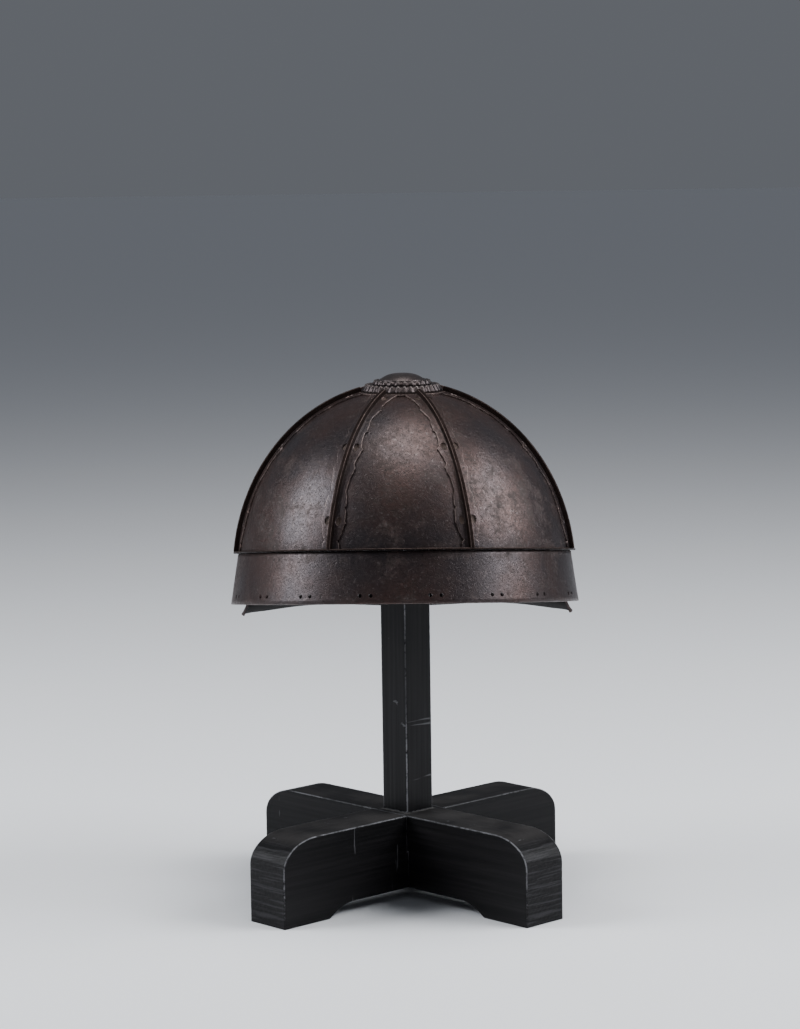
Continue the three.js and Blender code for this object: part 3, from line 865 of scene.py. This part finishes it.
def bandProfile():  # depth, outward lift, rubbed mark
    thick = rim["bandThickness"]
    low, high = bandBottom - 0.45, bandTop + 0.3
    profile = [(blend(low, high, k / bandSteps), 0.0, 0.0) for k in range(bandSteps + 1)]
    profile += [(bandTop + 0.05, -0.25, 0.0), (bandTop, -thick / 2, 0.0), (bandTop, -thick, 0.0)]
    profile += [((bandTop + bandBottom) / 2, -thick, 0.0), (low, -thick, 0.0)]
    profile += [(bandBottom - 0.1, -thick + 0.3, 0.1), (bandBottom, -thick / 2, 0.3)]
    return profile + [(bandBottom - 0.12, -0.25, 0.5)]


def bandMark(angle, depth):
    patch = rim["patch"] * math.exp(-(math.sin(angle / 2) / rim["patchShare"]) ** 2)
    nearTop = 1 - (depth - bandTop) / rim["topRustReach"]
    nearFoot = 1 - (bandBottom - depth) / rim["footRustReach"]
    return max(nearTop, nearFoot, patch)


def lacingHoles():
    depth, radius = bandBottom - rim["lacingEdge"], rim["lacingRadius"]
    mouth = radius + 0.12
    profile = [(radius, -4.0), (radius, -0.1), (mouth, 0.05), (mouth, 2.0)]
    halfPitch = rim["lacingPitch"] / 2 / (bowl["halfWidth"] + bandReach(depth))
    holes = []
    for degrees in rim["lacingAngles"]:
        for angle in (math.radians(degrees) - halfPitch, math.radians(degrees) + halfPitch):
            holes.append({
                "point": bandSpot(angle, depth, 0), "direction": rimStation(angle)[1],
                "sides": 20, "profile": profile,
            })
    return holes


def makeBand():
    profile = bandProfile()
    sections, edgeAndShade, rub = [], [], []
    for i in range(rim["columns"]):
        angle = 2 * math.pi * i / rim["columns"]
        section = []
        for depth, lift, mark in profile:
            dent = 0.0
            if lift > -0.5:
                dent = rim["unevenness"] * (wobble(bandSpot(angle, depth, 0), 22.0, 2.0) - 1)
            section.append(bandSpot(angle, depth, lift + dent))
            edgeAndShade.append(bandMark(angle, depth))
            rub.append(mark)
        sections.append(section)
    points, faces = ring(sections)
    marks = {"nearEdge": edgeAndShade, "rubbed": rub}
    made = makePiece("neck_band", points, faces, bowlIron, marks=marks, sharp=60)
    rows = len(profile)
    # The band's inner wall gets painted shade
    inside = set(range(bandSteps + 3, rows - 3))
    paintShadeInside(made, lambda face: {corner % rows for corner in faces[face]} <= inside)
    cutHoles(made, lacingHoles())
    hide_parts("waist_band")


def makeFilledHole():
    spot = bandSpot(0.0, bandBottom - rim["filledHoleEdge"], 0)
    makeDiscs(
        "filled_band_hole", [(spot, bandFacing(0.0))], rim["filledHoleRadius"],
        -0.8, 0.0, 0.15, stripIron,
    )


makeFlange()
makeBand()
makeFilledHole()
print("flange and band made")


# Visor
visor = {
    "halfAngle": 67.0,
    "columns": 161,
    "thickness": 1.6,
    "lip": 11.0,
    "reach": 30.0,
    "endReach": 3.5,
    "drop": 2.8,
    "endDrop": 7.8,
    "fullness": 0.7,
    "browRise": 2.2,
    "browSpan": 0.75,
    "rivetAngles": [146, 180, 214],
    "rivetRadius": 3.0,
    "rivetHeight": 1.8,
    "rivetDome": 1.4,
    "edgeRub": 0.2,
    "edgeRounding": 0.45,
}


def makeVisor():
    outer, inner = [], []
    thick = visor["thickness"]
    bladeSteps, lipSteps = 9, 3
    for i in range(visor["columns"]):
        across = 2 * i / (visor["columns"] - 1) - 1
        angle = math.pi + math.radians(visor["halfAngle"]) * across
        _, out, down = rimStation(angle)
        frontness = max(math.cos(across * math.pi / 2), 0.0) ** visor["fullness"]
        reach = blend(visor["endReach"], visor["reach"], frontness)
        brow = math.sin(math.pi * min(abs(across) / visor["browSpan"], 1)) ** 2
        drop = blend(visor["endDrop"], visor["drop"], frontness) - visor["browRise"] * brow
        lipTop = bandSpot(angle, bandBottom - visor["lip"], rim["clearance"])
        lipFoot = bandSpot(angle, bandBottom + rim["clearance"], rim["clearance"])
        blade = lipFoot + out * reach + down * drop
        fall = (blade - lipFoot).normalized()
        above = fall.cross(domeAlong(angle, bowl["wallHeight"])).normalized()
        corner = lipFoot + out * thick - down * thick
        bladeTop = blade + above * thick
        lipFace = lipTop + out * thick
        outer.append(
            [bladeTop.lerp(corner, k / bladeSteps) for k in range(bladeSteps)]
            + [corner.lerp(lipFace, k / lipSteps) for k in range(lipSteps + 1)]
        )
        inner.append(
            [blade.lerp(lipFoot, k / bladeSteps) for k in range(bladeSteps)]
            + [lipFoot.lerp(lipTop, k / lipSteps) for k in range(lipSteps + 1)]
        )
    points, faces = shell(outer, inner)
    rows = len(outer[0])
    lowEdge = [1.0 if j == 0 else 0.0 for _ in outer for j in range(rows)] * 2
    marks = {"nearEdge": lowEdge, "rubbed": [visor["edgeRub"] * mark for mark in lowEdge]}
    made = makePiece("brow_visor", points, faces, bowlIron, marks=marks, sharp=35)
    half = len(points) // 2
    # The visor's underside and the lip's back get painted shade
    paintShadeInside(made, lambda face: min(faces[face]) >= half)
    bevel = made.modifiers.new("rounded edges", "BEVEL")
    bevel.width = visor["edgeRounding"] * toMetres
    bevel.segments = 2
    bevel.limit_method = "ANGLE"
    bevel.angle_limit = math.radians(40)
    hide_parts("visor")


makeVisor()

for number, degrees in enumerate(visor["rivetAngles"]):
    angle = math.radians(degrees)
    spot = bandSpot(angle, bandBottom - visor["lip"] / 2, rim["clearance"] + visor["thickness"])
    made = makeDiscs(
        f"domed_visor_rivet_{number + 1}", [(spot, bandFacing(angle))], visor["rivetRadius"],
        -0.2, visor["rivetHeight"], visor["rivetDome"], bowlIron,
    )
    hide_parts(f"visor_rivet_{number + 1}")
print("visor made")


# Crown ornament
crown = {
    "seatRadius": 25.1,
    "seatTopRadius": 22.0,
    "seatHeight": 4.2,
    "seatPetals": 36,
    "tierRadius": 18.6,
    "tierTopRadius": 15.8,
    "tierHeight": 2.2,
    "tierPetals": 24,
    "petalDepth": 0.06,
    "capRadius": 14.0,
    "capHeight": 3.9,
    "capFullness": 2.9,
    "capRub": 0.12,
    "collarRadius": 27.2,
    "collarThickness": 1.06,
    "clearance": 0.3,
}
seatFoot = crown["seatRadius"] * (1 - crown["petalDepth"])
seatBottom = domeHeight(seatFoot / bowl["lengthRatio"]) + crown["clearance"]
seatTop = seatBottom + crown["seatHeight"]
tierBottom = seatTop + 0.02
tierTop = seatTop + crown["clearance"] + crown["tierHeight"]
capBottom = tierTop - 0.5
capTop = seatTop + crown["tierHeight"] + 2 * crown["clearance"] + crown["capHeight"]


def petalRow(radius, height, groove=0.0, tip=0.0, lean=0, bead=0.0, rub=0.0):
    return {
        "radius": radius, "height": height, "groove": groove,
        "tip": tip, "lean": lean, "bead": bead, "rub": rub,
    }


def petalShape(petals):
    def shape(row, angle):
        across = (angle * petals / (2 * math.pi)) % 1.0 * 2 - 1
        rounding = 0.5 + 0.5 * math.cos(across * math.pi)
        swell = row["bead"] * math.exp(-(across / 0.5) ** 2) - row["groove"] * (1 - rounding)
        lean = math.radians(row["lean"])
        radius = row["radius"] - row["tip"] * (1 - rounding) + swell * math.cos(lean)
        height = row["height"] + swell * math.sin(lean)
        return Vector((radius * math.sin(angle), -radius * math.cos(angle), height))
    return shape


def petalRub(rows, columns, petals):  # only the middle of each petal is rubbed
    rub = []
    for row in rows:
        if row["radius"] == 0:
            rub.append(0.0)
            continue
        for i in range(columns):
            across = (i / columns * petals) % 1.0 * 2 - 1
            rub.append(row["rub"] * max(1 - abs(across) * 1.5, 0.0))
    return rub


def makePetals(name, rows, petals, node):
    columns = petals * 14
    points, faces = revolved(rows, columns, petalShape(petals))
    marks = {"rubbed": petalRub(rows, columns, petals)}
    made = makePiece(name, points, faces, ornamentIron, marks=marks, sharp=70)
    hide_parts(node)


def seatRows():
    radius, topRadius = crown["seatRadius"], crown["seatTopRadius"]
    rows = [petalRow(0, bowl["rise"] + crown["clearance"])]
    for share in (0.4, 0.6, 0.75, 0.85):  # the underside follows the dome
        under = domeHeight(radius * share / bowl["lengthRatio"]) + 0.05
        rows.append(petalRow(radius * share, under))
    return rows + [
        petalRow(radius - 1.6, seatBottom - 0.1, tip=0.4),
        petalRow(radius - 0.25, seatBottom, groove=0.3, tip=0.5),
        petalRow(radius, seatBottom + 0.3, groove=0.45, tip=0.3),
        petalRow(radius - 0.5, seatBottom + 1.2, groove=0.55, rub=0.05),
        petalRow(radius - 1.1, seatBottom + 2.2, groove=0.55, rub=0.1),
        petalRow(radius - 1.6, seatBottom + 3.1, groove=0.6, lean=10, rub=0.15),
        petalRow(radius - 2.0, seatBottom + 3.8, groove=0.75, lean=30, bead=0.15, rub=0.5),
        petalRow(topRadius + 0.4, seatTop, groove=0.8, lean=55, bead=0.2, rub=0.7),
        petalRow(topRadius - 0.5, seatTop + 0.1, groove=0.7, lean=80, bead=0.1, rub=0.2),
        petalRow(topRadius - 1.6, seatTop - 0.3, groove=0.5, lean=85),
        petalRow(topRadius - 3.0, seatTop - 0.5, groove=0.2, lean=90),
        petalRow(topRadius - 5.0, seatTop - 0.2),
        petalRow(0, seatTop - 0.1),
    ]


def tierRows():
    radius, topRadius = crown["tierRadius"], crown["tierTopRadius"]
    return [
        petalRow(0, tierBottom - 0.6),
        petalRow(radius - 3.0, tierBottom - 0.6),
        petalRow(radius - 0.9, tierBottom - 0.5, tip=0.5),
        petalRow(radius - 0.2, tierBottom - 0.1, groove=0.3, tip=0.4),
        petalRow(radius - 0.2, tierBottom + 0.5, groove=0.45, tip=0.2),
        petalRow(radius - 0.6, tierBottom + 1.3, groove=0.55, rub=0.05),
        petalRow(radius - 1.0, tierBottom + 2.0, groove=0.65, lean=15, bead=0.1, rub=0.3),
        petalRow(radius - 1.6, tierBottom + 2.5, groove=0.7, lean=40, bead=0.2, rub=0.6),
        petalRow(radius - 2.5, tierBottom + 2.6, groove=0.6, lean=75, bead=0.1, rub=0.2),
        petalRow(topRadius - 0.6, tierTop - 0.3, groove=0.3, lean=85),
        petalRow(topRadius - 2.0, tierTop - 0.3),
        petalRow(0, tierTop - 0.2),
    ]


collarProfile = [  # inward place, share of the thickness, edge mark, rubbed mark; the mark 2.4 on the inner rows paints shade under the overhanging seat petals
    (0.0, 0.6, 0.5, 0.6), (0.12, 0.95, 0.5, 1.0), (0.4, 1.0, 0.5, 0.8),
    # These inner rows are darkened as painted shade under the overhanging seat petals
    (0.8, 1.0, 2.4, 0.0), (4.0, 1.0, 2.4, 0.0), (7.0, 1.0, 2.4, 0.0),
]


def makeCollar():
    outer, inner = [], []
    columns = 180
    for i in range(columns):
        angle = 2 * math.pi * i / columns
        outerColumn, innerColumn = [], []
        for inward, share, *_ in collarProfile:
            height = domeHeight(crown["collarRadius"] - inward)
            base, normal = domePoint(angle, height), domeNormal(angle, height)
            outerColumn.append(base + normal * share * crown["collarThickness"])
            innerColumn.append(base - normal * 0.05)
        outer.append(outerColumn)
        inner.append(innerColumn)
    points, faces = shell(outer, inner, wraps=True)
    edgeAndShade = [edgeAndShade for _, _, edgeAndShade, _ in collarProfile] * columns
    rub = [rub for *_, rub in collarProfile] * columns
    marks = {"nearEdge": edgeAndShade + edgeAndShade, "rubbed": rub + [0.0] * len(rub)}
    makePiece("seat_collar_sheet", points, faces, stripIron, marks=marks, sharp=50)


def makeCap():
    radius, steps = crown["capRadius"], 16
    rows = [
        petalRow(0, capBottom), petalRow(radius - 0.8, capBottom),
        petalRow(radius, capBottom + 0.3),
    ]
    domeBase = capBottom + 0.7
    for k in range(steps):
        share = 1 - k / steps
        rise = 1 - share ** crown["capFullness"]
        rows.append(petalRow((radius - 0.1) * share, blend(domeBase, capTop, rise)))
    rows.append(petalRow(0, capTop))
    points, faces = revolved(rows, 96, petalShape(1))
    marks = {"rubbed": [crown["capRub"]] * len(points)}
    made = makePiece("top_dome", points, faces, ornamentIron, marks=marks, sharp=50)
    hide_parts("crown_cap")


makeCollar()
makePetals("seat_petals", seatRows(), crown["seatPetals"], "crown_seat")
makePetals("tier_petals", tierRows(), crown["tierPetals"], "crown_tier")
makeCap()
print("crown made")


# Wooden stand
stand = {
    "beamLength": 238.0,
    "beamWidth": 31.4,
    "beamHeight": 53.6,
    "shoulderLength": 27.0,
    "shoulderDrop": 18.0,
    "footLength": 37.0,
    "archHeight": 7.6,
    "archEase": 20.0,
    "postWidth": 22.0,
    "edgeRounding": 0.5,
    "wearWidth": 1.0,
    "lowWear": 0.75,  # the beams' feet are less worn
    "sharpCorner": 30,
    "clearance": 0.3,
}


def beamOutline(notchFromTop):
    half = stand["beamLength"] / 2
    archFoot = half - stand["footLength"]
    archFlat = archFoot - stand["archEase"]
    arch, height = stand["archHeight"], stand["beamHeight"]
    notch = stand["beamWidth"] / 2 + stand["clearance"] / 2
    halving = (height + arch) / 2

    def archSide(sign):  # from the foot's inner corner up to the flat of the arch
        found = []
        for k in range(1, 13):
            share = k / 12
            found.append((sign * blend(archFoot, archFlat, share), arch * (1 - (1 - share) ** 2)))
        return found

    points = [(-half, 0.0), (-archFoot, 0.0)] + archSide(-1)
    if not notchFromTop:
        points += [(-notch, arch), (-notch, halving), (notch, halving), (notch, arch)]
    points += archSide(1)[::-1] + [(archFoot, 0.0), (half, 0.0)]
    middle = half - stand["shoulderLength"]
    shoulder = []
    for k in range(19):
        turn = k / 18 * math.pi / 2
        shoulder.append((
            middle + stand["shoulderLength"] * math.cos(turn),
            height - stand["shoulderDrop"] + stand["shoulderDrop"] * math.sin(turn),
        ))
    points += shoulder
    if notchFromTop:
        points += [(notch, height), (notch, halving), (-notch, halving), (-notch, height)]
    points += [(-x, y) for x, y in shoulder[::-1]]
    return points


def wornOutline(points, rounding, reach):
    made = []  # each spot with its worn mark and the number of its corner
    count = len(points)
    for i in range(count):
        here = Vector(points[i])
        before, after = Vector(points[i - 1]), Vector(points[(i + 1) % count])
        back, ahead = before - here, after - here
        turn = -(here - before).angle_signed(after - here)
        roomy = min(back.length, ahead.length) > 2 * reach
        if turn > math.radians(stand["sharpCorner"]) and roomy:  # only outer corners are rounded
            back.normalize()
            ahead.normalize()
            middle = (back + ahead).normalized()
            made.append((here + back * (rounding + reach), 0.0, i))
            made.append((here + back * rounding, 1.0, i))
            made.append((here + middle * rounding * 0.41, 1.0, i))
            made.append((here + ahead * rounding, 1.0, i))
            made.append((here + ahead * (rounding + reach), 0.0, i))
        else:
            made.append((here, 0.0, i))
    return made


def insetOutline(outline, distance):
    made = []
    count = len(outline)
    for i in range(count):
        here, before, after = outline[i], outline[i - 1], outline[(i + 1) % count]
        first = (here - before).normalized()
        second = (after - here).normalized()
        firstSide, secondSide = Vector((-first.y, first.x)), Vector((-second.y, second.x))
        middle = (firstSide + secondSide).normalized()
        made.append(here + middle * distance / max(middle.dot(firstSide), 0.35))
    return made


def makeTimber(name, outline, length, toPlace, material, lowWear):
    rounding, reach = stand["edgeRounding"], stand["wearWidth"]
    worn = wornOutline(outline, rounding, reach)
    half = length / 2
    ending = [  # place along the piece, inset, worn mark
        (half, rounding + reach, 0.0), (half, rounding, 1.0),
        (half - 0.3 * rounding, 0.3 * rounding, 1.0),
        (half - rounding, 0.0, 1.0), (half - rounding - reach, 0.0, 0.0),
    ]
    levels = [(-place, inset, mark) for place, inset, mark in ending] + ending[::-1]
    count = len(worn)
    points, marks = [], []
    for place, inset, mark in levels:
        if inset >= rounding:  # the rounded corners close up on the flat sides
            corners = insetOutline([Vector(point) for point in outline], inset)
            spots = [corners[corner] for _, _, corner in worn]
        else:
            spots = insetOutline([spot for spot, _, _ in worn], inset)
        for spot, (_, cornerMark, _) in zip(spots, worn):
            points.append(toPlace(spot.x, spot.y, place))
            raised = min(max(spot.y / stand["archHeight"] - 0.6, 0.0), 1.0)
            wear = max(mark, cornerMark) * blend(lowWear, 1.0, raised)
            marks.append(0.0 if inset > rounding else wear)
    faces = []
    stackedRings(faces, 0, len(levels), count)
    faces.append(tuple((len(levels) - 1) * count + i for i in range(count)))
    mesh = bpy.data.meshes.new(name)
    mesh.from_pydata([tuple(c * toMetres for c in point) for point in points], [], faces)
    layer = mesh.attributes.new("worn", "FLOAT", "POINT")
    layer.data.foreach_set("value", marks)
    tidy = bmesh.new()
    tidy.from_mesh(mesh)
    bmesh.ops.remove_doubles(tidy, verts=tidy.verts, dist=1e-6)
    bmesh.ops.recalc_face_normals(tidy, faces=tidy.faces)
    tidy.to_mesh(mesh)
    tidy.free()
    mesh.shade_smooth()
    mesh.set_sharp_from_angle(angle=math.radians(50))
    mesh.materials.append(material)
    made = bpy.data.objects.new(name, mesh)
    scene.collection.objects.link(made)
    return made


def setTimber(made, turn, height, node, standing=Matrix.Identity(4)):
    spot = Vector((axisX, axisY, height)) * toMetres
    swing = Matrix.Rotation(math.radians(turn), 4, "Z")
    made.matrix_world = Matrix.Translation(spot) @ swing @ standing
    bpy.context.view_layer.update()
    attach(made, "root")
    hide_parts(node)


for letter, notchFromTop, turn in (("a", True, 45.0), ("b", False, 135.0)):
    made = makeTimber(
        f"stand_beam_{letter}", beamOutline(notchFromTop), stand["beamWidth"],
        lambda u, v, w: (u, -w, v), beamWood, stand["lowWear"],
    )
    setTimber(made, turn, 0.0, f"base_beam_{letter}")

sunk = 0.2  # how far the post reaches into the beams
postLength = (postHigh.z - postLow.z) / toMetres + sunk
postMiddle = (postLow.z + postHigh.z) / toMetres / 2 - sunk / 2
side = stand["postWidth"] / 2
square = [(-side, -side), (side, -side), (side, side), (-side, side)]
made = makeTimber("stand_post", square, postLength, lambda u, v, w: (w, u, v), postWood, 1.0)
# The post is made lying along X, so that its grain runs lengthwise, and is then stood up
setTimber(made, 45.0, postMiddle, "post", Matrix.Rotation(math.radians(-90), 4, "Y"))

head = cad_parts["post_head"]
head.data.materials.clear()
head.data.materials.append(postWood)
print("stand made")


# Floor, light and camera
studio = {  # in metres
    "floorHalfWidth": 30.0,
    "floorColour": (0.82, 0.83, 0.85),
    "floorRoughness": 0.75,
    "worldColour": (0.30, 0.32, 0.36),
    # at the horizon and overhead, so that the floor's far edge doesn't show
    "worldStrength": (0.405, 0.535),
    "lightsAim": (0.0, 0.0, 0.22),
}


def makeFloor():
    mesh = bpy.data.meshes.new("studio floor")
    size = studio["floorHalfWidth"]
    corners = [(-size, -size, 0), (size, -size, 0), (size, size, 0), (-size, size, 0)]
    mesh.from_pydata(corners, [], [(0, 1, 2, 3)])
    floor = bpy.data.objects.new("studio_floor", mesh)
    scene.collection.objects.link(floor)
    made, _, surface, _ = startMaterial("Pale studio floor")
    surface.inputs["Base Color"].default_value = (*studio["floorColour"], 1)
    surface.inputs["Roughness"].default_value = studio["floorRoughness"]
    floor.data.materials.append(made)


def makeLight(name, azimuth, elevation, distance, width, height, power, colour):
    # Azimuth 0 is on the camera's side and 90 is on its right
    data = bpy.data.lights.new(name, "AREA")
    data.shape = "RECTANGLE"
    data.size, data.size_y = width, height
    data.energy = power
    data.color = colour
    light = bpy.data.objects.new(name, data)
    turn, rise = math.radians(azimuth), math.radians(elevation)
    level = Vector((math.sin(turn), -math.cos(turn), 0)) * math.cos(rise)
    towards = level + Vector((0, 0, math.sin(rise)))
    light.location = Vector(studio["lightsAim"]) + towards * distance
    light.rotation_mode = "QUATERNION"
    light.rotation_quaternion = towards.to_track_quat("Z", "Y")
    scene.collection.objects.link(light)


lights = [  # in metres, degrees and watts
    {
        "name": "left box", "azimuth": -82, "elevation": 27, "distance": 1.6,
        "width": 0.75, "height": 1.0, "power": 26, "colour": (0.93, 0.96, 1.0),
    },
    {
        "name": "right box", "azimuth": 82, "elevation": 32, "distance": 1.6,
        "width": 1.0, "height": 1.1, "power": 34, "colour": (0.95, 0.97, 1.0),
    },
    {
        "name": "top box", "azimuth": 30, "elevation": 84, "distance": 1.9,
        "width": 1.1, "height": 1.1, "power": 30, "colour": (1.0, 1.0, 1.0),
    },
]
makeFloor()
for light in lights:
    makeLight(**light)

world = bpy.data.worlds.new("Soft studio")
world.use_nodes = True
background = world.node_tree.nodes["Background"]
background.inputs[0].default_value = (*studio["worldColour"], 1)
sky = shaderNode(world.node_tree, "ShaderNodeTexCoord").outputs["Generated"]
skyHeight = shaderNode(world.node_tree, "ShaderNodeSeparateXYZ", None, {0: sky}).outputs[2]
skyGlow = rangeNode(world.node_tree, skyHeight, 0.0, 1.0, *studio["worldStrength"])
world.node_tree.links.new(skyGlow, background.inputs[1])
scene.world = world

view = {  # lengths in millimetres, turns in degrees
    "lens": 104.96,
    "distance": 1860.7,
    "sideways": -2.4,
    "height": 467.66,
    "swing": 1.4,
    "pitch": 6.958,
    "roll": -0.81,
}


def makeCamera():
    data = bpy.data.cameras.new("photo view")
    data.sensor_width = 36.0
    data.lens = view["lens"]
    data.clip_start, data.clip_end = 0.05, 60.0
    camera = bpy.data.objects.new("photo_view", data)
    swing = Matrix.Rotation(math.radians(view["swing"]), 4, "Z")
    stood = swing @ Vector((view["sideways"], -view["distance"], view["height"]))
    spot = Matrix.Translation(Vector((stood.x + axisX, stood.y + axisY, stood.z)) * toMetres)
    pitch = Matrix.Rotation(math.radians(90 - view["pitch"]), 4, "X")
    roll = Matrix.Rotation(math.radians(view["roll"]), 4, "Z")
    camera.matrix_world = spot @ swing @ pitch @ roll
    scene.collection.objects.link(camera)
    scene.camera = camera


makeCamera()
print("floor, light and camera set")
